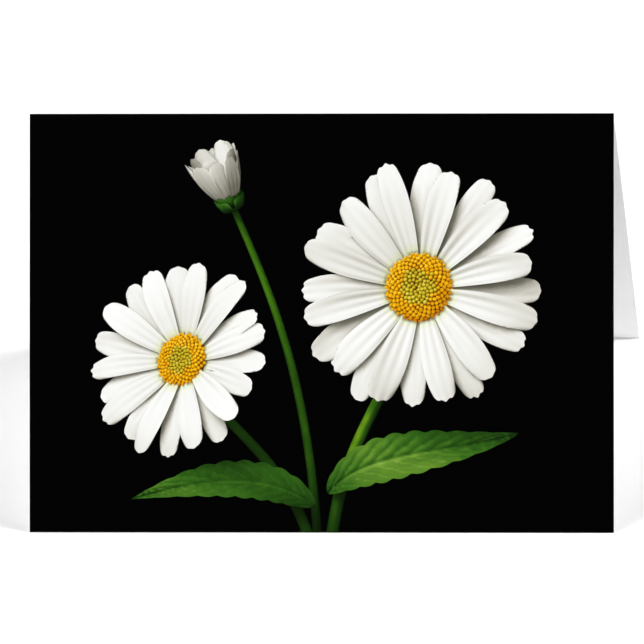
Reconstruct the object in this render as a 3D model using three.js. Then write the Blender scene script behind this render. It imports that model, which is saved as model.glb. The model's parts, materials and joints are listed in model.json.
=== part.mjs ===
// Folded greeting card standing as a tent: 7 by 5 inch, landscape, with its fold along the top.
// Millimetres, +Z up. The printed front faces -Y and the fold runs along X.
import * as THREE from 'three';

const inch = 25.4;
const cardWidth = 7 * inch;
const leafHeight = 5 * inch;
const boardThickness = 0.45;

// Each leaf leans back from upright by this angle, so the tent opens to twice of it.
const leanDegrees = 28.8;
const lean = THREE.MathUtils.degToRad(leanDegrees);

// The two inner faces meet at the hinge line, and the board rounds it at one thickness.
const foldRadius = boardThickness;
const leafReach = leafHeight - foldRadius;
const hingeHeight = leafReach * Math.cos(lean);

// The rounded crease is part of the front leaf: a sector round the hinge line, from the front's
// outer face to the back's. The back leaf starts just clear of it.
const creaseSweep = Math.PI - 2 * lean;
const creaseClearance = 0.3;
const creaseSegments = 12;

const printedBoard = new THREE.MeshStandardMaterial({ color: 0x060606, roughness: 0.55, metalness: 0 });
const plainBoard = new THREE.MeshStandardMaterial({ color: 0xf4f4f2, roughness: 0.85, metalness: 0 });

// Sections are drawn with x out of the leaf's outer face and y up the leaf, and the hinge line at 0, 0.
function frontSection() {
  const section = new THREE.Shape();
  section.moveTo(0, -leafReach);
  section.lineTo(boardThickness, -leafReach);
  section.lineTo(boardThickness, 0);
  section.absarc(0, 0, foldRadius, 0, creaseSweep, false);
  section.lineTo(0, 0);
  section.closePath();
  return section;
}

function backSection() {
  const section = new THREE.Shape();
  const top = -(foldRadius + creaseClearance);
  section.moveTo(0, -leafReach);
  section.lineTo(boardThickness, -leafReach);
  section.lineTo(boardThickness, top);
  section.lineTo(0, top);
  section.closePath();
  return section;
}

// Extrudes a section over the card's width and stands it up with its outer face towards +Y.
function leafGeometry(section) {
  const geometry = new THREE.ExtrudeGeometry(section, {
    depth: cardWidth,
    curveSegments: creaseSegments,
    bevelEnabled: false,
  });
  geometry.translate(0, 0, -cardWidth / 2);
  const standing = new THREE.Matrix4().makeBasis(
    new THREE.Vector3(0, 1, 0),
    new THREE.Vector3(0, 0, 1),
    new THREE.Vector3(1, 0, 0),
  );
  return geometry.applyMatrix4(standing);
}

function leaf(name, section, material) {
  const mesh = new THREE.Mesh(leafGeometry(section), material);
  mesh.name = name;
  mesh.position.set(0, 0, hingeHeight);
  return mesh;
}

const frontLeaf = leaf('front_leaf', frontSection(), printedBoard);
frontLeaf.rotation.set(-lean, 0, Math.PI);

const backLeaf = leaf('back_leaf', backSection(), plainBoard);
backLeaf.rotation.set(lean, 0, 0);

const card = new THREE.Group();
card.add(frontLeaf, backLeaf);

export default card;
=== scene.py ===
import json
import math
import random

import bmesh
import bpy
import numpy as np
from mathutils import Matrix, Vector
from mathutils.bvhtree import BVHTree
from mathutils.geometry import delaunay_2d_cdt


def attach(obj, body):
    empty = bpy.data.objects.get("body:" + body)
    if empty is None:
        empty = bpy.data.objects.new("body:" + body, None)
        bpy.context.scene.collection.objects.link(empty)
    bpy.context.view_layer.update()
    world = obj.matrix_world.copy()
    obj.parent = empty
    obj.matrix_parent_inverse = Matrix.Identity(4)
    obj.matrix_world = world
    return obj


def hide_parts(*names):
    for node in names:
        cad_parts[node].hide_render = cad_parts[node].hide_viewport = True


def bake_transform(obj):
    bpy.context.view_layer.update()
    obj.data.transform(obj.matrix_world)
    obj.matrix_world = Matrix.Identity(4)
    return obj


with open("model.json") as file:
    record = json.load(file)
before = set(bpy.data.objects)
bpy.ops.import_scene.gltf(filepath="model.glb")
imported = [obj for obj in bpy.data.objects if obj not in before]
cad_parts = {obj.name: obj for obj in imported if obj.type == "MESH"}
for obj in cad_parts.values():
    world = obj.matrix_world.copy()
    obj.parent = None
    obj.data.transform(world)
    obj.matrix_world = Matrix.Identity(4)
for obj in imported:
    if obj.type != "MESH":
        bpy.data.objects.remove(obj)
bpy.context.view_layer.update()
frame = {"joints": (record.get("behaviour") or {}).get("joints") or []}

mm = 0.001

# The card: one sheet of board, folded along the hinge line, both leaves leaning alike
card = {
    "width": 177.8 * mm,
    "leafHeight": 127.0 * mm,
    "board": 0.45 * mm,
    "lean": math.radians(28.8),
    "bow": 0.35 * mm,          # each leaf swells outwards by this much half way down
}
hinge = Vector(frame["joints"][0]["pos_m"])
reach = card["leafHeight"] - card["board"]     # from the hinge line to the foot
sinLean, cosLean = math.sin(card["lean"]), math.cos(card["lean"])
acrossCard = Vector((1, 0, 0))
frontDown, frontOut = Vector((0, -sinLean, -cosLean)), Vector((0, -cosLean, sinLean))
backDown, backOut = Vector((0, sinLean, -cosLean)), Vector((0, cosLean, sinLean))


def bowAt(down):
    # the bow of a leaf at this distance below the hinge line
    return card["bow"] * math.sin(math.pi * min(max(down / reach, 0), 1)) ** 2


# Colours are written as sRGB hex values, and Blender's sockets take linear ones
def toLinear(channels):
    channels = np.asarray(channels, float)
    return np.where(channels <= 0.04045, channels / 12.92, ((channels + 0.055) / 1.055) ** 2.4)


def hexColour(text):
    return [int(text[i:i + 2], 16) / 255 for i in (1, 3, 5)]


def paint(text):
    return (*toLinear(hexColour(text)).tolist(), 1.0)


def addNode(tree, kind, settings=None, inputs=None, links=None):
    node = tree.nodes.new(kind)
    for name, value in (settings or {}).items():
        setattr(node, name, value)
    for name, value in (inputs or {}).items():
        node.inputs[name].default_value = value
    for name, socket in (links or {}).items():
        tree.links.new(socket, node.inputs[name])
    return node


def newMaterial(name, roughness, sheen):
    material = bpy.data.materials.new(name)
    material.use_nodes = True
    tree = material.node_tree
    tree.nodes.clear()
    shader = addNode(tree, "ShaderNodeBsdfPrincipled",
                     inputs={"Roughness": roughness, "Specular IOR Level": sheen})
    addNode(tree, "ShaderNodeOutputMaterial", links={"Surface": shader.outputs["BSDF"]})
    return material, tree, shader


def deselectAll():
    if bpy.context.object and bpy.context.object.mode != "OBJECT":
        bpy.ops.object.mode_set(mode="OBJECT")
    bpy.ops.object.select_all(action="DESELECT")


# Camera: square to the printed front, a little to its right, far enough off to keep it a rectangle
view = {
    "distance": 5.0,
    "sight": 60.0,                    # past the floor's far edge
    "sensor": 36.0,                   # the sensor's width in millimetres
    "turn": math.radians(5.36),       # to the right of the front's normal
    "pixelsPerMm": 3.3005,
    "photoSide": 644,
    "aimRight": 0.7,                  # in pixels of the photo, from the middle of the front
    "aimUp": 0.9,
}


def addCamera():
    up = -frontDown
    back = math.cos(view["turn"]) * frontOut + math.sin(view["turn"]) * acrossCard
    right = up.cross(back)
    pixel = mm / view["pixelsPerMm"]
    middle = hinge + frontDown * (reach - card["board"]) / 2 + frontOut * card["board"]
    aim = middle + right * view["aimRight"] * pixel + up * view["aimUp"] * pixel
    turned = Matrix((right, up, back)).transposed().to_4x4()
    bpy.ops.object.camera_add()
    camera = bpy.context.object
    camera.name = "camera"
    camera.matrix_world = Matrix.Translation(aim + back * view["distance"]) @ turned
    camera.data.sensor_width = view["sensor"]
    camera.data.lens = view["sensor"] * view["distance"] / (view["photoSide"] * pixel)
    camera.data.clip_end = view["sight"]
    bpy.context.scene.camera = camera
    print("camera: lens", round(camera.data.lens, 1), "mm, from", view["distance"], "m")


# Stage: a wide pale floor, three broad lights on both sides, far enough off to light it evenly, which
# shine into the tent and fill each other's shadows, and a dim world. A small narrow light near the
# floor fades from the open leaf's foot upwards.
stage = {
    "floor": "#F4F4F4", "floorSize": 60.0, "floorRoughness": 0.9, "floorSheen": 0.1,
    "lights": {
        "rightLight": {"spot": (14.8, 0.8, 7.2), "size": 11.2, "power": 4750},
        "leftLight": {"spot": (-14.8, -1.0, 6.4), "size": 14.4, "power": 1080},
        "leftFrontLight": {"spot": (-12.8, -4.8, 9.6), "size": 14.4, "power": 2960},
        "footLight": {"spot": (0.8, -0.15, 0.08), "size": 0.15, "power": 0.082,
                      "aim": (0.1, 0.06, -0.03), "spread": 16},
    },
    "aim": (0, 0, 0.05),       # what a light points at when it has no aim of its own
    "world": 0.18, "horizon": 0.0, "overhead": 1.0,
    "behindCamera": 0.01,      # what is left of the world on the camera's side
    "dims": (0.05, 0.7),       # where it dims to that, as cosines from the front's normal
    "seen": 0.95,              # the world's own brightness past the floor's edge
}


def addFloor():
    bpy.ops.mesh.primitive_plane_add(size=stage["floorSize"])
    floor = bpy.context.object
    floor.name = "floor"
    material, _, shader = newMaterial("paleMattFloor", stage["floorRoughness"], stage["floorSheen"])
    shader.inputs["Base Color"].default_value = paint(stage["floor"])
    floor.data.materials.append(material)


def addAreaLight(name, spot, size, power, aim=stage["aim"], spread=180):
    bpy.ops.object.light_add(type="AREA", location=spot)
    light = bpy.context.object
    light.name = name
    light.data.shape = "DISK"
    light.data.size = size
    light.data.energy = power
    light.data.spread = math.radians(spread)
    light.rotation_mode = "QUATERNION"
    light.rotation_quaternion = (Vector(aim) - Vector(spot)).to_track_quat("-Z", "Y")


def addWorld():
    world = bpy.data.worlds.new("softStudio")
    world.use_nodes = True
    tree = world.node_tree
    tree.nodes.clear()
    toSky = addNode(tree, "ShaderNodeTexCoord").outputs["Generated"]
    # bright overhead and dimmer at the horizon
    height = addNode(tree, "ShaderNodeSeparateXYZ", links={"Vector": toSky})
    sky = addNode(tree, "ShaderNodeMapRange", links={"Value": height.outputs["Z"]},
                  inputs={"To Min": stage["horizon"], "To Max": stage["overhead"]})
    # the side that the printed front faces is dark, as a studio is behind its camera
    facing = addNode(tree, "ShaderNodeVectorMath", {"operation": "DOT_PRODUCT"},
                     inputs={1: frontOut}, links={0: toSky})
    dimFrom, dimTo = stage["dims"]
    dark = addNode(tree, "ShaderNodeMapRange", {"interpolation_type": "SMOOTHSTEP"},
                   inputs={"From Min": dimFrom, "From Max": dimTo,
                           "To Min": 1.0, "To Max": stage["behindCamera"]},
                   links={"Value": facing.outputs["Value"]})
    both = addNode(tree, "ShaderNodeMath", {"operation": "MULTIPLY"},
                   links={0: sky.outputs["Result"], 1: dark.outputs["Result"]})
    strength = addNode(tree, "ShaderNodeMath", {"operation": "MULTIPLY"},
                       inputs={1: stage["world"]}, links={0: both.outputs["Value"]})
    # seen straight, past the floor's edge, it is as pale as the floor
    path = addNode(tree, "ShaderNodeLightPath")
    shown = addNode(tree, "ShaderNodeMapRange", inputs={"To Max": stage["seen"]},
                    links={"Value": path.outputs["Is Camera Ray"], "To Min": strength.outputs["Value"]})
    light = addNode(tree, "ShaderNodeBackground", inputs={"Color": (1, 1, 1, 1)},
                    links={"Strength": shown.outputs["Result"]})
    addNode(tree, "ShaderNodeOutputWorld", links={"Surface": light.outputs["Background"]})
    bpy.context.scene.world = world


def addStage():
    addFloor()
    for name, light in stage["lights"].items():
        addAreaLight(name, **light)
    addWorld()
    bpy.context.scene.view_settings.view_transform = "Standard"
    print("stage: floor,", len(stage["lights"]), "lights and a dim world")


# Board: bright white wove card, satin coated outside and bare inside, with solid ink on the front
board = {
    "inside": {"colour": "#E2E2E2", "roughness": 0.85, "sheen": 0.12, "tooth": 0.5},
    "outside": {"colour": "#E1E1E1", "roughness": 0.4, "sheen": 0.3, "tooth": 0.12},
    "core": {"colour": "#E2E1DF", "roughness": 0.95, "sheen": 0.12, "tooth": 0.9},
    "grain": {"width": 0.35 * mm, "detail": 3.0, "depth": 0.02 * mm},    # the felt side of wove card
    "cloudWidth": 4.0 * mm,     # formation: the soft clouds of thicker and thinner pulp
    "cloudDetail": 4.0,
    "cloudShade": 0.96,         # colour of the darkest ones, as a share of the lightest
    "ink": {"colour": "#010101", "roughness": 0.45, "sheen": 0.02, "tooth": 0.12},
    "inkGrain": {"width": 0.8 * mm, "detail": 2.0, "depth": 0.01 * mm},
    "patchy": 0.05,             # how far the roughness strays either way, as fibres and coating vary
}


def addGrain(tree, shader, where, grain, finish):
    # the same fibres lift the surface and make its gloss uneven, both only a little
    fibres = addNode(tree, "ShaderNodeTexNoise", links={"Vector": where},
                     inputs={"Scale": 1 / grain["width"], "Detail": grain["detail"]})
    rough = addNode(tree, "ShaderNodeMapRange", links={"Value": fibres.outputs["Fac"]},
                    inputs={"To Min": finish["roughness"] - board["patchy"],
                            "To Max": finish["roughness"] + board["patchy"]})
    tree.links.new(rough.outputs["Result"], shader.inputs["Roughness"])
    bump = addNode(tree, "ShaderNodeBump", links={"Height": fibres.outputs["Fac"]},
                   inputs={"Strength": finish["tooth"], "Distance": grain["depth"]})
    tree.links.new(bump.outputs["Normal"], shader.inputs["Normal"])


def boardMaterial(name, finish):
    # paper scatters nearly all light, and its fibre clumps are a few tenths of a millimetre wide
    material, tree, shader = newMaterial(name, finish["roughness"], finish["sheen"])
    where = addNode(tree, "ShaderNodeTexCoord").outputs["Object"]
    addGrain(tree, shader, where, board["grain"], finish)
    clouds = addNode(tree, "ShaderNodeTexNoise", links={"Vector": where},
                     inputs={"Scale": 1 / board["cloudWidth"], "Detail": board["cloudDetail"]})
    shade = addNode(tree, "ShaderNodeValToRGB", links={"Fac": clouds.outputs["Fac"]})
    light = paint(finish["colour"])
    shade.color_ramp.elements[0].color = (*[c * board["cloudShade"] for c in light[:3]], 1)
    shade.color_ramp.elements[1].color = light
    tree.links.new(shade.outputs["Color"], shader.inputs["Base Color"])
    return material


def inkMaterial(name, layer=None):
    # ink under a thin satin coating: a solid black with a soft sheen and only a trace of the board's tooth
    ink = board["ink"]
    material, tree, shader = newMaterial(name, ink["roughness"], ink["sheen"])
    where = addNode(tree, "ShaderNodeTexCoord").outputs["Object"]
    addGrain(tree, shader, where, board["inkGrain"], ink)
    if layer:
        drawn = addNode(tree, "ShaderNodeVertexColor", {"layer_name": layer})
        tree.links.new(drawn.outputs["Color"], shader.inputs["Base Color"])
    else:
        shader.inputs["Base Color"].default_value = paint(ink["colour"])
    return material


# Sheet: its outer face is drawn from foot to foot over the fold, then gets the board's thickness
sheet = {
    "leafRows": 20,
    "softRows": (0.9 * mm, 0.7 * mm),    # the last rows below the fold, where the board bends
    "creaseSteps": 8,
    "bendHalf": 0.7 * mm,
    "insideRadius": 0.02 * mm,           # what the board's thickness leaves at the hinge line
    "bead": 0.12 * mm,                   # the ridge that scoring raises inside the fold
    "edgeRound": 0.3 * mm,               # the knife leaves on the inner side, and rounds that edge most
    "printEdgeRound": 0.2,               # share of it on the printed side
    "roundSteps": 4,
    "cutAngle": math.radians(70),        # an edge that turns by more than this is on the cut rim
    "innerDepth": 0.2 * card["board"],   # an edge no deeper than this is on the inner side
    "foldReach": 1.1 * card["board"],    # a face nearer to the hinge line than this is on the fold
    "outwards": 0.3, "inwards": -0.9,    # how far a face's normal leans its leaf's way, on either side
    "upwards": 0.1,                      # and how far it leans up, on the outside of the fold
    "smoothAngle": math.radians(25),
    "nearTop": 0.1 * mm,                 # an edge this near to the top of the first row is its top edge
    "weld": 0.001 * mm,
}


def drawOn(step):
    bpy.ops.mesh.extrude_edges_move(TRANSFORM_OT_translate={"value": step})


def drawOuterFace():
    deselectAll()
    outer = hinge + frontOut * card["board"]
    longRow = (reach - sum(sheet["softRows"])) / sheet["leafRows"]
    bpy.ops.mesh.primitive_plane_add(size=1, location=outer + frontDown * (reach - longRow / 2))
    piece = bpy.context.object
    piece.name = "cardSheet"
    piece.rotation_euler.x = math.pi / 2 - card["lean"]
    piece.scale = (card["width"], longRow, 1)
    bpy.ops.object.transform_apply(location=True, rotation=True, scale=True)
    bpy.ops.object.mode_set(mode="EDIT")
    bpy.ops.mesh.select_mode(type="EDGE")
    bpy.ops.mesh.select_all(action="DESELECT")
    data = bmesh.from_edit_mesh(piece.data)
    top = max(v.co.z for v in data.verts)
    for edge in data.edges:
        edge.select_set(all(v.co.z > top - sheet["nearTop"] for v in edge.verts))
    bmesh.update_edit_mesh(piece.data)
    rows = [longRow] * (sheet["leafRows"] - 1) + list(sheet["softRows"])
    for row in rows:
        drawOn(-frontDown * row)
    bpy.ops.mesh.spin(steps=sheet["creaseSteps"], angle=math.pi - 2 * card["lean"],
                      center=hinge, axis=acrossCard)
    for row in [*reversed(rows), longRow]:
        drawOn(backDown * row)
    bpy.ops.mesh.select_all(action="SELECT")
    bpy.ops.mesh.remove_doubles(threshold=sheet["weld"])
    bpy.ops.object.mode_set(mode="OBJECT")
    if piece.data.polygons[0].normal.dot(frontOut) < 0:
        piece.data.flip_normals()
    return piece


def depthIn(place):
    # how deep in the board a place lies, from 0 on its leaf's inner side
    return (place - hinge).dot(frontOut if place.y < 0 else backOut)


def markCutEdges(piece):
    # a bevel weight on each edge of the cut rim
    data = bmesh.new()
    data.from_mesh(piece.data)
    weight = data.edges.layers.float.new("bevel_weight_edge")
    for edge in data.edges:
        if len(edge.link_faces) == 2 and edge.calc_face_angle() > sheet["cutAngle"]:
            inner = max(depthIn(v.co) for v in edge.verts) < sheet["innerDepth"]
            edge[weight] = 1.0 if inner else sheet["printEdgeRound"]
    data.to_mesh(piece.data)
    data.free()


def giveThickness(piece):
    thicken = piece.modifiers.new("board", "SOLIDIFY")
    thicken.thickness = card["board"] - sheet["insideRadius"]
    thicken.offset = -1
    thicken.use_even_offset = True
    bpy.ops.object.modifier_apply(modifier=thicken.name)
    markCutEdges(piece)
    cut = piece.modifiers.new("cutEdges", "BEVEL")
    cut.width = sheet["edgeRound"]
    cut.segments = sheet["roundSteps"]
    cut.limit_method = "WEIGHT"
    bpy.ops.object.modifier_apply(modifier=cut.name)


def bowLeaves(piece):
    # both leaves swell, and the inner line of the fold is pressed down to its bead
    for vertex in piece.data.vertices:
        side, out = (frontDown, frontOut) if vertex.co.y < 0 else (backDown, backOut)
        offset = vertex.co - hinge
        vertex.co += out * bowAt(offset.dot(side))
        if math.hypot(offset.y, offset.z) < 2 * sheet["insideRadius"]:
            vertex.co.z -= sheet["bead"]


def dressSheet(piece):
    inner, plain, printed, cut = range(4)     # the materials in the order that they are given in
    for material in (boardMaterial("uncoatedWoveCard", board["inside"]),
                     boardMaterial("satinCoatedCard", board["outside"]),
                     inkMaterial("solidBlackInk"),
                     boardMaterial("guillotinedEdge", board["core"])):
        piece.data.materials.append(material)
    for face in piece.data.polygons:
        front = face.center.y < 0
        outer = printed if front else plain
        facing = face.normal.dot(frontOut if front else backOut)
        if math.hypot(face.center.y, face.center.z - hinge.z) < sheet["foldReach"]:
            face.material_index = outer if face.normal.z > sheet["upwards"] else inner
        elif facing > sheet["outwards"]:
            face.material_index = outer
        else:
            face.material_index = inner if facing < sheet["inwards"] else cut


def addSheet():
    piece = drawOuterFace()
    giveThickness(piece)
    bowLeaves(piece)
    dressSheet(piece)
    deselectAll()
    piece.select_set(True)
    bpy.context.view_layer.objects.active = piece
    bpy.ops.object.shade_smooth_by_angle(angle=sheet["smoothAngle"])
    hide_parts("front_leaf", "back_leaf")
    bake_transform(piece)
    print("sheet:", len(piece.data.polygons), "faces")


# Picture: a bunch of daisies modelled in the round, lit, and laid flat as patches of ink.
# Its lengths are millimetres on the front: x from the middle, y up from the foot, z to the viewer.
picture = {
    "key": (-0.50, 0.62, 0.60), "keySpread": 24, "keyRays": 16, "keyShare": 0.72, "keyWrap": 0.22,
    "skySpread": 80, "skyRays": 20, "skyWrap": 0.5,
    "leak": 0.18,                       # share of the light that a thin petal in its way lets through
    "clear": 0.12, "ahead": 0.05,       # a ray starts this far off the surface and on its way
    "rayReach": 150, "viewerAt": 200,
    "fadeFrom": -12, "fadeOver": 48,    # the heights over which the light grows, from the foot up
    "footShare": 0.3,                   # what it starts from
    "rootReach": 0.2,                   # the lowest part of a petal is tinged with yellow,
    "rootTint": (0.10, 0.05, 0.34),     # by what it takes from red, green and blue
    "pointGap": 0.6, "rowGap": 0.87,    # the net of points, its rows in shares of the gap
    "groundColumns": 30,
    "behind": 0.25,                     # an outline deeper than this under another patch is hidden
    "towardsMiddle": 0.07,              # a corner's ink is looked up this share of the way in
    "merge": 1e-4, "mergeUnder": 1e-6,
    "film": 0.02 * mm, "sunk": 0.01 * mm,
    "side": 0.12 * mm, "foot": 0.06 * mm,    # what the film leaves free of the width and the height
}
# colours by how much light a place gets, from none to all of it
ramps = {
    "petal": {0: "#0C0D0A", 0.18: "#4F4D42", 0.4: "#98958A", 0.62: "#C9C7BE", 0.82: "#E6E6E3", 1: "#F8F9F9"},
    "gold": {0: "#2A1402", 0.25: "#7E4205", 0.5: "#C98408", 0.75: "#EDB913", 1: "#FBE26A"},
    "heart": {0: "#231602", 0.25: "#6B5206", 0.5: "#A98F10", 0.75: "#CFC034", 1: "#EDE58A"},
    "stem": {0: "#030601", 0.25: "#16330A", 0.5: "#3F6E12", 0.75: "#8FA51E", 1: "#C3CF6A"},
    "leaf": {0: "#020501", 0.25: "#122B0A", 0.5: "#2F5C17", 0.75: "#6A9130", 1: "#A7BF72"},
}
rampNumber = {name: k for k, name in enumerate(ramps)}
golden = math.pi * (3 - math.sqrt(5))


def unit(vectors):
    vectors = np.asarray(vectors, float)
    return vectors / np.maximum(np.linalg.norm(vectors, axis=-1, keepdims=True), 1e-9)


def axes(axis):
    # a frame on an axis: two directions across it, and the axis itself
    w = unit(axis)
    u = unit(np.cross((0, 1, 0.1), w))
    return u, np.cross(w, u), w


def newBunch():
    names = ("points", "normals", "along", "ramp", "dim", "patch", "faces", "rims")
    return {**{name: [] for name in names}, "size": 0}


def addPatch(bunch, grid, ramp, dim=1.0, closed=False):
    # a patch is a grid of points; a closed one is a dome whose first row is its rim
    rows, columns = grid.shape[:2]
    index = bunch["size"] + np.arange(rows * columns).reshape(rows, columns)
    a, b, c, d = index[:-1, :-1], index[1:, :-1], index[1:, 1:], index[:-1, 1:]
    for corners in ((a, b, c), (a, c, d)):
        bunch["faces"].append(np.stack(corners, -1).reshape(-1, 3))
    normal = unit(np.cross(np.gradient(grid, axis=0), np.gradient(grid, axis=1)))
    normal *= np.where(normal[..., 2:] < 0, -1, 1)
    hasNone = np.linalg.norm(normal, axis=-1) < 0.5     # where the grid closes to a point
    normal[hasNone] = (0, 0, 1)
    bunch["points"].append(grid.reshape(-1, 3))
    bunch["normals"].append(normal.reshape(-1, 3))
    bunch["along"].append(np.repeat(np.linspace(0, 1, rows), columns))
    bunch["ramp"].append(np.full(rows * columns, rampNumber[ramp]))
    bunch["dim"].append(np.broadcast_to(dim, (rows, columns)).ravel())
    bunch["patch"].append(np.full(rows * columns, len(bunch["patch"])))
    bunch["size"] += rows * columns
    lines = [index[0]] if closed else [index[0], index[-1], index[:, 0], index[:, -1]]
    bunch["rims"] += [np.stack((line[:-1], line[1:]), -1) for line in lines]
    if not closed:
        addFolds(bunch, grid, index)


def addFolds(bunch, grid, index):
    # where a patch turns away from the viewer, its outline is a fold
    flat = grid[..., :2]
    down, side = np.diff(flat, axis=0)[:, :-1], np.diff(flat, axis=1)[:-1]
    turned = down[..., 0] * side[..., 1] - down[..., 1] * side[..., 0] > 0
    i, j = np.nonzero(turned[1:] != turned[:-1])
    bunch["rims"].append(np.stack((index[i + 1, j], index[i + 1, j + 1]), -1))
    i, j = np.nonzero(turned[:, 1:] != turned[:, :-1])
    bunch["rims"].append(np.stack((index[i, j + 1], index[i + 1, j + 1]), -1))


# Flowers: two open daisies and a bud, whose second ring is its green bracts. A ring's rise and fall
# are its petals' tilt in degrees at the root and at the tip.
flowers = [
    {"centre": (30, 74, 0), "axis": (-0.20, 0.16, 0.96), "disc": 10.5, "florets": 240, "seed": 4,
     "rings": [{"ramp": "petal", "count": 24, "length": 31, "half": 4.5, "from": 7.6, "height": -0.4,
                "rise": 14, "fall": -14, "loose": 9, "dim": 1.0}]},
    {"centre": (-42, 52, -8), "axis": (-0.46, 0.24, 0.85), "disc": 8.2, "florets": 190, "seed": 9,
     "rings": [{"ramp": "petal", "count": 21, "length": 25, "half": 3.9, "from": 6.0, "height": -0.4,
                "rise": 18, "fall": -8, "loose": 9, "dim": 1.0}]},
    {"centre": (-27, 99, -12), "axis": (-0.38, 0.86, 0.34), "disc": 4.0, "florets": 0, "seed": 12,
     "rings": [{"ramp": "petal", "count": 15, "length": 17, "half": 2.9, "from": 2.6, "height": 2.0,
                "rise": 58, "fall": 84, "loose": 5, "dim": 1.3},
               {"ramp": "leaf", "count": 14, "length": 7.5, "half": 1.8, "from": 0.6, "height": -1.6,
                "rise": 14, "fall": 96, "loose": 3, "dim": 1.05}]},
]
petal = {
    "rows": 24, "columns": 27,
    "curl": 1.3,                        # over 1, it bends most near its tip
    "root": 0.42, "widest": 0.7,        # its width at the root, and how far up it is widest
    "taper": 0.12,                      # how much it narrows from there to the tip
    "cupFade": 0.5,                     # and how much flatter it gets
    "groove": 0.012,                    # depth of its furrows, as a share of the ring's length
    "grooveRun": 1.2, "grooveSkew": 0.7,
    "upperTilt": 5, "upperLift": 0.9,   # every other petal stands higher, in degrees and millimetres
    "twist": 2.2,                       # degrees for each degree that the ring is loose
}
# between these limits each petal is drawn, in this order: the tip, the size, the degrees of its tilt, its
# cup, twist and bend, its place in the ring and its brightness
petalLimits = {
    "blunt": (0.85, 1.15), "notch": (0.005, 0.028), "length": (0.93, 1.04), "half": (0.9, 1.08),
    "rise": (-3, 3), "fall": (-1, 1), "cup": (-0.1, 0.35), "twist": (-1, 1), "bend": (-0.05, 0.05),
    "turn": (-0.15, 0.15), "dim": (0.96, 1.02),
}
# Florets: buds in the middle of a disc and open ones outside, on a low dome with a dimple
florets = {
    "domeRows": 9, "domeColumns": 33, "domeHeight": 0.3, "domeDim": 0.7,
    "dimple": 0.35, "dimpleWidth": 0.3,     # of the dome's height and of the disc's radius
    "spread": 0.985, "above": 0.05,         # how far out the last one stands, and over the dome
    "edge": 0.97, "steepest": -1.2,         # past the edge, and at most, the dome falls this much
    "slopeStep": 0.05,
    "openFrom": 0.62,                       # further out than this share of the radius they are open
    "goldFrom": 0.45, "goldBlend": 0.12,    # and from about here on golden
    "size": 0.54, "outerSize": 0.1,         # of the gap between them, and how much more outside
    "sizes": (0.9, 1.1), "dims": (0.88, 1.08),
    "columns": 11, "lobes": 5, "lobeDepth": 0.16, "phases": (0, 6),
    "openRows": ((1, 0), (0.92, 0.7), (0.6, 1.15), (0, 0.7)),     # radius and height of each row
    "budRows": ((1, 0), (0.9, 0.6), (0.55, 1.0), (0, 1.15)),
}


def petalGrid(p):
    # rows run from the root to the tip; the result is radial, sideways and up in the flower
    s = np.linspace(0, 1, p["rows"])[:, None]
    v = np.sin(np.linspace(-math.pi / 2, math.pi / 2, p["columns"]))[None, :]
    furrows = (1 - np.cos(3 * math.pi * v)) / 2
    tilt = p["rise"] + (p["fall"] - p["rise"]) * s ** p["curl"]
    step = p["length"] / (p["rows"] - 1)
    run = np.cumsum(np.cos(tilt), 0) * step - np.cos(tilt[:1]) * step
    climb = np.cumsum(np.sin(tilt), 0) * step - np.sin(tilt[:1]) * step
    blunt = p["blunt"] * p["half"] / p["length"] * (1 - np.sqrt(np.maximum(1 - v ** 2, 0)))
    tip = 1 - s ** 3 * (blunt + p["notch"] * furrows * (1 - v ** 2))
    half = p["half"] * (p["root"] + (1 - p["root"]) * np.sin(math.pi / 2 * np.minimum(s / p["widest"], 1)))
    half = half * (1 - p["taper"] * np.maximum((s - p["widest"]) / (1 - p["widest"]), 0) ** 2)
    grooved = furrows * np.sin(math.pi * np.minimum(s * p["grooveRun"], 1) ** p["grooveSkew"])
    lift = half * p["cup"] * v ** 2 * (1 - p["cupFade"] * s) - p["groove"] * grooved
    turn = p["twist"] * s
    side = half * v * np.cos(turn) - lift * np.sin(turn) + p["bend"] * p["length"] * s ** 2
    lift = half * v * np.sin(turn) + lift * np.cos(turn)
    return run * tip - lift * np.sin(tilt), side, climb * tip + lift * np.cos(tilt)


def addRing(bunch, centre, frameAxes, ring, rng):
    # a ring of petals or bracts round the flower's axis, every other one a little higher
    u, v, w = frameAxes
    for k in range(ring["count"]):
        upper = k % 2
        drawn = {name: rng.uniform(*limits) for name, limits in petalLimits.items()}
        radial, side, up = petalGrid({
            **petal, **drawn,
            "groove": petal["groove"] * ring["length"],
            "length": ring["length"] * drawn["length"],
            "half": ring["half"] * drawn["half"],
            "rise": math.radians(ring["rise"] + petal["upperTilt"] * upper + drawn["rise"]),
            "fall": math.radians(ring["fall"] + drawn["fall"] * ring["loose"]),
            "twist": math.radians(drawn["twist"] * petal["twist"] * ring["loose"]),
        })
        turn = 2 * math.pi * (k + drawn["turn"]) / ring["count"]
        out, tangent = math.cos(turn) * u + math.sin(turn) * v, math.cos(turn) * v - math.sin(turn) * u
        grid = (centre + (radial + ring["from"])[..., None] * out + side[..., None] * tangent
                + (up + petal["upperLift"] * upper + ring["height"])[..., None] * w)
        addPatch(bunch, grid, ring["ramp"], dim=drawn["dim"] * ring["dim"])


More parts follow.
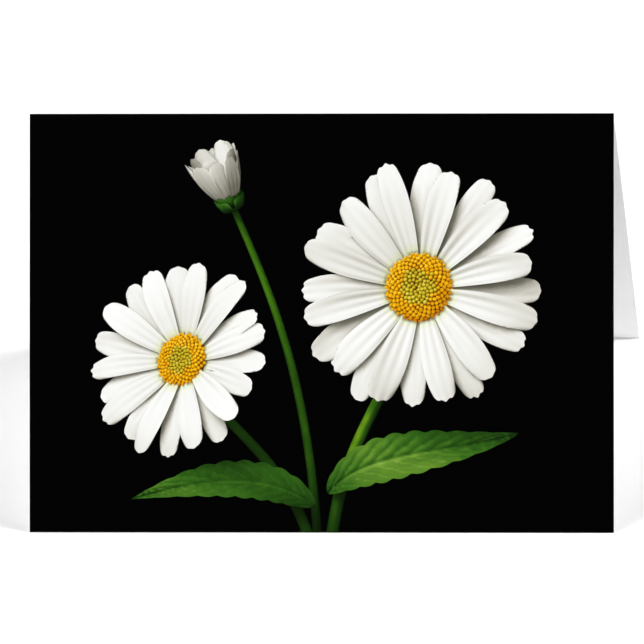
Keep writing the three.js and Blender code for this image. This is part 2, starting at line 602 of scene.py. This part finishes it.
def addDisc(bunch, flower, centre, frameAxes, rng):
    # the dome, and its florets on a phyllotaxis spiral
    u, v, w = frameAxes
    radius, height = flower["disc"], flower["disc"] * florets["domeHeight"]

    def dome(r):
        dimple = np.exp(-(r / (florets["dimpleWidth"] * radius)) ** 2)
        return height * (1 - (r / radius) ** 2 + 1e-6) ** 0.5 - florets["dimple"] * height * dimple

    ring = np.linspace(1, 0, florets["domeRows"])[:, None] * radius
    turn = np.linspace(0, 2 * math.pi, florets["domeColumns"])[None, :]
    base = centre + (ring * np.cos(turn))[..., None] * u + (ring * np.sin(turn))[..., None] * v
    addPatch(bunch, base + dome(ring)[..., None] * w, "gold", dim=florets["domeDim"], closed=True)
    count = flower["florets"]
    gap = radius * math.sqrt(math.pi / count)
    step = florets["slopeStep"]
    angles = np.linspace(0, 2 * math.pi, florets["columns"])
    for k in range(count):
        outness = math.sqrt((k + 0.5) / count)
        r, angle = radius * outness * florets["spread"], k * golden
        out = math.cos(angle) * u + math.sin(angle) * v
        slope = florets["steepest"]
        if r < radius * florets["edge"]:
            slope = max(slope, (dome(r + step) - dome(r - step)) / (2 * step))
        p, q, n = axes(unit(w - slope * out))
        foot = centre + r * out + (dome(r) + florets["above"]) * w
        size = gap * (florets["size"] + florets["outerSize"] * outness) * rng.uniform(*florets["sizes"])
        opened = outness > florets["openFrom"]
        lobes = np.ones(len(angles))
        if opened:
            phase = rng.uniform(*florets["phases"])
            lobes += florets["lobeDepth"] * np.cos(florets["lobes"] * angles + phase)
        circle = np.cos(angles)[:, None] * p + np.sin(angles)[:, None] * q
        grid = np.array([foot + size * (wide * lobes[:, None] * circle + up * n)
                         for wide, up in florets["openRows" if opened else "budRows"]])
        gold = outness > florets["goldFrom"] + florets["goldBlend"] * rng.random()
        addPatch(bunch, grid, "gold" if gold else "heart", dim=rng.uniform(*florets["dims"]), closed=True)


def addFlower(bunch, flower):
    rng = random.Random(flower["seed"])
    frameAxes = axes(flower["axis"])
    centre = np.array(flower["centre"], float)
    for ring in flower["rings"]:
        addRing(bunch, centre, frameAxes, ring, rng)
    if flower["florets"]:
        addDisc(bunch, flower, centre, frameAxes, rng)


# Stems: each path is the four points of a curve, from the flower to the foot, as the radii are
stems = [
    {"path": ((29, 70, -6), (24, 44, -22), (6, 30, -18), (3, -4, -14)),
     "radius": (1.5, 1.9), "dim": 1.0},
    {"path": ((-40, 50, -12), (-32, 32, -26), (-12, 26, -18), (-3, -4, -10)),
     "radius": (1.3, 1.7), "dim": 1.0},
    {"path": ((-26.4, 97.6, -12.5), (-16, 74, -24), (-4, 48, -30), (-1, -4, -22)),
     "radius": (1.0, 1.4), "dim": 0.95},
]
stalk = {"rows": 60, "columns": 13, "ribs": 7, "ribHeight": 0.05}


def curve(points, count):
    # a cubic Bezier curve through space, and its direction
    t = np.linspace(0, 1, count)[:, None]
    a, b, c, d = (np.array(p, float) for p in points)
    place = (1 - t) ** 3 * a + 3 * (1 - t) ** 2 * t * b + 3 * (1 - t) * t ** 2 * c + t ** 3 * d
    return place, unit(np.gradient(place, axis=0))


def addStem(bunch, stem):
    place, along = curve(stem["path"], stalk["rows"])
    side = unit(np.cross(along, (0, 0, 1)))
    front = np.cross(side, along)
    angle = np.linspace(-math.pi / 2, math.pi / 2, stalk["columns"])
    ribs = (1 + stalk["ribHeight"] * np.cos(stalk["ribs"] * angle))[None, :, None]
    thick = np.linspace(*stem["radius"], stalk["rows"])[:, None, None] * ribs
    grid = place[:, None] + thick * (np.sin(angle)[None, :, None] * side[:, None]
                                     + np.cos(angle)[None, :, None] * front[:, None])
    addPatch(bunch, grid, "stem", dim=stem["dim"])


# Leaves: a leaf is widest nearer to its foot where belly is under 1
leaves = [
    {"path": ((2, 12, -12), (14, 25, -8), (36, 23, -4), (60, 30, -12)), "facing": (-0.2, 0.3, 1),
     "half": 6.2, "teeth": 10, "belly": 0.8, "fold": 0.3, "dim": 1.0},
    {"path": ((-2, 8, -8), (-16, 18, -4), (-34, 17, -2), (-58, 10, -8)), "facing": (-0.2, 0.5, 1),
     "half": 5.6, "teeth": 10, "belly": 0.8, "fold": 0.3, "dim": 1.05},
]
blade = {
    "rows": 110, "columns": 31,
    "toothDepth": 0.15, "foot": 0.06,                # its teeth and its foot, of the half width
    "slant": 2.2,                                    # how far a side vein climbs to the margin, in teeth
    "veinLift": 0.4, "veinWidth": 0.25, "veinPale": 0.2,
    "midribLift": -0.4, "midribWidth": 0.09,
    "stripeWidth": 0.1, "stripePale": 0.36, "stripeFade": 0.6,    # the pale line on the midrib
    "wave": 0.25, "waves": 1.5, "waveFrom": 0.2,     # how the margins swing up and down
}


def addLeaf(bunch, leaf):
    # a toothed blade with a sunk midrib and side veins, which are paler than the blade between them
    place, along = curve(leaf["path"], blade["rows"])
    side = unit(np.cross(along, unit(leaf["facing"])))
    front = np.cross(side, along)
    s = np.linspace(0, 1, blade["rows"])[:, None]
    v = np.linspace(-1, 1, blade["columns"])[None, :]
    saw = blade["toothDepth"] * np.abs(np.sin(math.pi * leaf["teeth"] * s)) * np.sin(math.pi * s) ** 0.5
    belly = np.sin(math.pi * s ** leaf["belly"]) ** 0.8 + blade["foot"] * (1 - s)
    half = leaf["half"] * belly * (1 + saw)
    slant = np.sin(math.pi * (leaf["teeth"] * s - blade["slant"] * np.abs(v)))
    inner = np.clip(np.abs(v) * 5, 0, 1) * (1 - v ** 4)     # neither on the midrib nor at the margin
    wave = blade["wave"] * np.sin(2 * math.pi * (blade["waves"] * s + blade["waveFrom"])) * v * np.abs(v)
    lift = (leaf["fold"] * half * np.abs(v) ** 1.2 + blade["veinLift"] * np.abs(slant) * inner
            + wave + blade["midribLift"] * np.exp(-(v / blade["midribWidth"]) ** 2))
    veins = blade["veinPale"] * np.exp(-(slant / blade["veinWidth"]) ** 2) * inner
    stripe = blade["stripePale"] * np.exp(-(v / blade["stripeWidth"]) ** 2) * (1 - blade["stripeFade"] * s)
    grid = place[:, None] + (half * v)[..., None] * side[:, None] + lift[..., None] * front[:, None]
    addPatch(bunch, grid, "leaf", dim=leaf["dim"] * (1 + (veins + stripe)))


def drawBunch():
    bunch = newBunch()
    for stem in stems:
        addStem(bunch, stem)
    for leaf in leaves:
        addLeaf(bunch, leaf)
    for flower in flowers:
        addFlower(bunch, flower)
    for name, parts in bunch.items():
        if name != "size":
            bunch[name] = np.concatenate(parts)
    print("picture:", bunch["size"], "points in the round,", len(bunch["faces"]), "faces")
    return bunch


def raysWithin(count, degrees):
    # directions within this angle of +Z, evenly over the cap
    k = np.arange(count) + 0.5
    sine = math.sin(math.radians(degrees)) * np.sqrt(k / count)
    return np.stack((sine * np.cos(k * golden), sine * np.sin(k * golden), np.sqrt(1 - sine ** 2)), -1)


def shine(tree, points, normals):
    # how much light reaches each point: a soft key light, and a dim sky on the viewer's side
    key = raysWithin(picture["keyRays"], picture["keySpread"]) @ np.array(axes(picture["key"]))
    sky = raysWithin(picture["skyRays"], picture["skySpread"])
    total = np.zeros(len(points))
    for directions, share, wrap in ((key, picture["keyShare"], picture["keyWrap"]),
                                    (sky, 1 - picture["keyShare"], picture["skyWrap"])):
        for direction in directions:
            amount = np.clip((normals @ direction + wrap) / (1 + wrap), 0, 1)
            start = points + normals * picture["clear"] + direction * picture["ahead"]
            ray = Vector(direction)
            for k in np.nonzero(amount > 0)[0]:
                if tree.ray_cast(Vector(start[k]), ray, picture["rayReach"])[0]:
                    amount[k] *= picture["leak"]
            total += share * amount / len(directions)
    return total


def look(tree, spots):
    # what the viewer sees at each flat spot: the face, or -1 for the ground, and the place on it
    down = Vector((0, 0, -1))
    faces = np.full(len(spots), -1)
    places = np.zeros((len(spots), 3))
    for k, (x, y) in enumerate(spots):
        place, _, face, _ = tree.ray_cast(Vector((x, y, picture["viewerAt"])), down)
        if place:
            faces[k], places[k] = face, place
    return faces, places


def cornerShares(points, corners, places):
    # barycentric: how near each place is to each of its face's three corners
    a, b, c = (points[corners[:, k]] for k in range(3))
    ab, ac, ap = b - a, c - a, places - a
    d00, d01, d11 = (ab * ab).sum(-1), (ab * ac).sum(-1), (ac * ac).sum(-1)
    d20, d21 = (ap * ab).sum(-1), (ap * ac).sum(-1)
    low = np.maximum(d00 * d11 - d01 ** 2, 1e-12)
    second, third = (d11 * d20 - d01 * d21) / low, (d00 * d21 - d01 * d20) / low
    shares = np.clip(np.stack((1 - second - third, second, third), -1), 0, 1)
    return shares / shares.sum(-1, keepdims=True)


def inkAt(bunch, light, hits, places):
    # the colour of each place on the face that was hit there
    corners = bunch["faces"][hits]
    shares = cornerShares(bunch["points"], corners, places)
    lit = (light[corners] * bunch["dim"][corners] * shares).sum(-1)
    along = (bunch["along"][corners] * shares).sum(-1)
    kind = bunch["ramp"][corners[:, 0]]
    fade = np.clip((places[:, 1] - picture["fadeFrom"]) / picture["fadeOver"], 0, 1)
    grown = (1 - picture["footShare"]) * fade * fade * (3 - 2 * fade)
    lit = np.clip(lit * (picture["footShare"] + grown), 0, 1)
    colours = np.zeros((len(hits), 3))
    for name, stops in ramps.items():
        chosen = kind == rampNumber[name]
        table = np.array([hexColour(text) for text in stops.values()])
        for channel in range(3):
            colours[chosen, channel] = np.interp(lit[chosen], list(stops), table[:, channel])
    rooted = (kind == rampNumber["petal"]) * np.clip(1 - along / picture["rootReach"], 0, 1)
    colours *= 1 - rooted[:, None] * picture["rootTint"]
    return toLinear(colours)


def pictureArea():
    # half its width, its foot and its top, which stops where the board bends most
    halfWidth = (card["width"] - picture["side"]) / mm / 2
    return halfWidth, picture["foot"] / mm, (reach - sheet["softRows"][1]) / mm


def within(spots):
    halfWidth, foot, top = pictureArea()
    return (np.abs(spots[:, 0]) < halfWidth) & (spots[:, 1] > foot) & (spots[:, 1] < top)


def shownOutlines(bunch, tree):
    # the points of all outlines, and the pairs of them that the viewer sees joined
    used, ends = np.unique(bunch["rims"], return_inverse=True)
    ends = ends.reshape(-1, 2)
    points = bunch["points"][used]
    seen, places = look(tree, points[:, :2])
    hidden = (seen >= 0) & (places[:, 2] > points[:, 2] + picture["behind"])
    shown = within(points) & ~hidden
    return points[:, :2], ends[shown[ends].any(1)]


def pointNet(tree, rows):
    # a fine net inside the patches, and on the ground a coarse one in rows that follow the board
    halfWidth, _, top = pictureArea()
    gap = picture["pointGap"]
    net = np.array([(x + gap / 2 * (row % 2), y)
                    for row, y in enumerate(np.arange(gap, top, gap * picture["rowGap"]))
                    for x in np.arange(-halfWidth + gap, halfWidth - gap, gap)])
    ground = np.array([(x, y) for y in rows[1:-1]
                       for x in np.linspace(-halfWidth, halfWidth, picture["groundColumns"])[1:-1]])
    return np.concatenate((net[look(tree, net)[0] >= 0], ground[look(tree, ground)[0] < 0]))


def layFlat(bunch, tree):
    # the outlines that show and the net inside them are triangulated flat, up to a straight border
    halfWidth, foot, top = pictureArea()
    rows = np.linspace(foot, top, sheet["leafRows"] + 1)
    outline, ends = shownOutlines(bunch, tree)
    net = pointNet(tree, rows)
    corners = [(-halfWidth, y) for y in rows] + [(halfWidth, y) for y in rows[::-1]]
    first = len(outline) + len(net)
    border = [(first + k, first + (k + 1) % len(corners)) for k in range(len(corners))]
    spots = [Vector(spot) for spot in (*outline.tolist(), *net.tolist(), *corners)]
    joined = [*map(tuple, ends.tolist()), *border]
    flat, _, faces, *_ = delaunay_2d_cdt(spots, joined, [], 0, picture["merge"])
    flat = np.array([tuple(spot) for spot in flat])
    triangles = np.array([face for face in faces if len(face) == 3])
    triangles = triangles[within(flat[triangles].mean(1))]
    used, triangles = np.unique(triangles, return_inverse=True)
    return flat[used], triangles.reshape(-1, 3)


def inkCorners(bunch, tree, light, flat, triangles):
    # each corner gets the ink that the viewer sees there, unless another patch starts at it
    middles = flat[triangles].mean(1)
    seen, places = look(tree, middles)
    inked = np.nonzero(seen >= 0)[0]
    seen = seen[inked]
    inwards = picture["towardsMiddle"]
    nudged = flat[triangles[inked]] * (1 - inwards) + middles[inked][:, None] * inwards
    cornerSeen, cornerPlaces = look(tree, nudged.reshape(-1, 2))
    patchOf = bunch["patch"][bunch["faces"][:, 0]]
    same = (cornerSeen >= 0) & (patchOf[cornerSeen] == np.repeat(patchOf[seen], 3))
    inks = np.repeat(inkAt(bunch, light, seen, places[inked]), 3, axis=0)
    inks[same] = inkAt(bunch, light, cornerSeen[same], cornerPlaces[same])
    colours = np.tile(paint(board["ink"]["colour"])[:3], (len(triangles), 3, 1))
    colours[inked] = inks.reshape(-1, 3, 3)
    print("picture:", len(triangles), "flat patches,", len(inked), "of them inked")
    return colours


def onFront(x, y, lift):
    # a place on the printed front from picture coordinates in millimetres
    down = reach - y * mm
    return hinge + acrossCard * x * mm + frontDown * down + frontOut * (card["board"] + bowAt(down) + lift)


def rimOf(triangles):
    # the sides that only one triangle has, and the loop of points that they make
    sides = {}
    for a, b, c in triangles.tolist():
        for start, end in ((a, b), (b, c), (c, a)):
            if (end, start) in sides:
                del sides[(end, start)]
            else:
                sides[(start, end)] = True
    following = {start: end for start, end in sides}
    loop = [next(iter(following))]
    while following[loop[-1]] != loop[0]:
        loop.append(following[loop[-1]])
    return list(sides), loop


def filmMesh(flat, triangles):
    # the film is closed: a rim round the picture and a plain underside
    sides, loop = rimOf(triangles)
    under = {point: len(flat) + k for k, point in enumerate(loop)}
    places = [onFront(x, y, picture["film"]) for x, y in flat]
    places += [onFront(*flat[point], -picture["sunk"]) for point in loop]
    # rungs from side to side keep the underside on the bowed board
    halfWidth, _, _ = pictureArea()
    level = {}
    for k, point in enumerate(loop):
        if abs(flat[point][0]) > halfWidth - picture["pointGap"]:
            level.setdefault(round(flat[point][1], 2), []).append(k)
    rungs = [tuple(pair) for pair in level.values() if len(pair) == 2]
    rim = [(k, (k + 1) % len(loop)) for k in range(len(loop))]
    spots = [Vector(flat[point]) for point in loop]
    closing = delaunay_2d_cdt(spots, rim + rungs, [], 1, picture["mergeUnder"])[2]
    polygons = triangles.tolist()
    polygons += [(b, a, under[a], under[b]) for a, b in sides]
    polygons += [[len(flat) + k for k in reversed(face)] for face in closing]
    mesh = bpy.data.meshes.new("frontPrint")
    mesh.from_pydata(places, [], polygons)
    return mesh


def addPicture():
    bunch = drawBunch()
    tree = BVHTree.FromPolygons(bunch["points"].tolist(), bunch["faces"].tolist(), all_triangles=True)
    light = shine(tree, bunch["points"], bunch["normals"])
    print("picture: light worked out")
    flat, triangles = layFlat(bunch, tree)
    colours = inkCorners(bunch, tree, light, flat, triangles)
    mesh = filmMesh(flat, triangles)
    layer = mesh.color_attributes.new("ink", "FLOAT_COLOR", "CORNER")
    values = np.tile(paint(board["ink"]["colour"]), (len(mesh.loops), 1))
    values[:triangles.size, :3] = colours.reshape(-1, 3)
    layer.data.foreach_set("color", values.astype(np.float32).ravel())
    piece = bpy.data.objects.new("frontPrint", mesh)
    bpy.context.scene.collection.objects.link(piece)
    mesh.materials.append(inkMaterial("printedInk", "ink"))
    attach(piece, "front")


addCamera()
addStage()
addSheet()
addPicture()
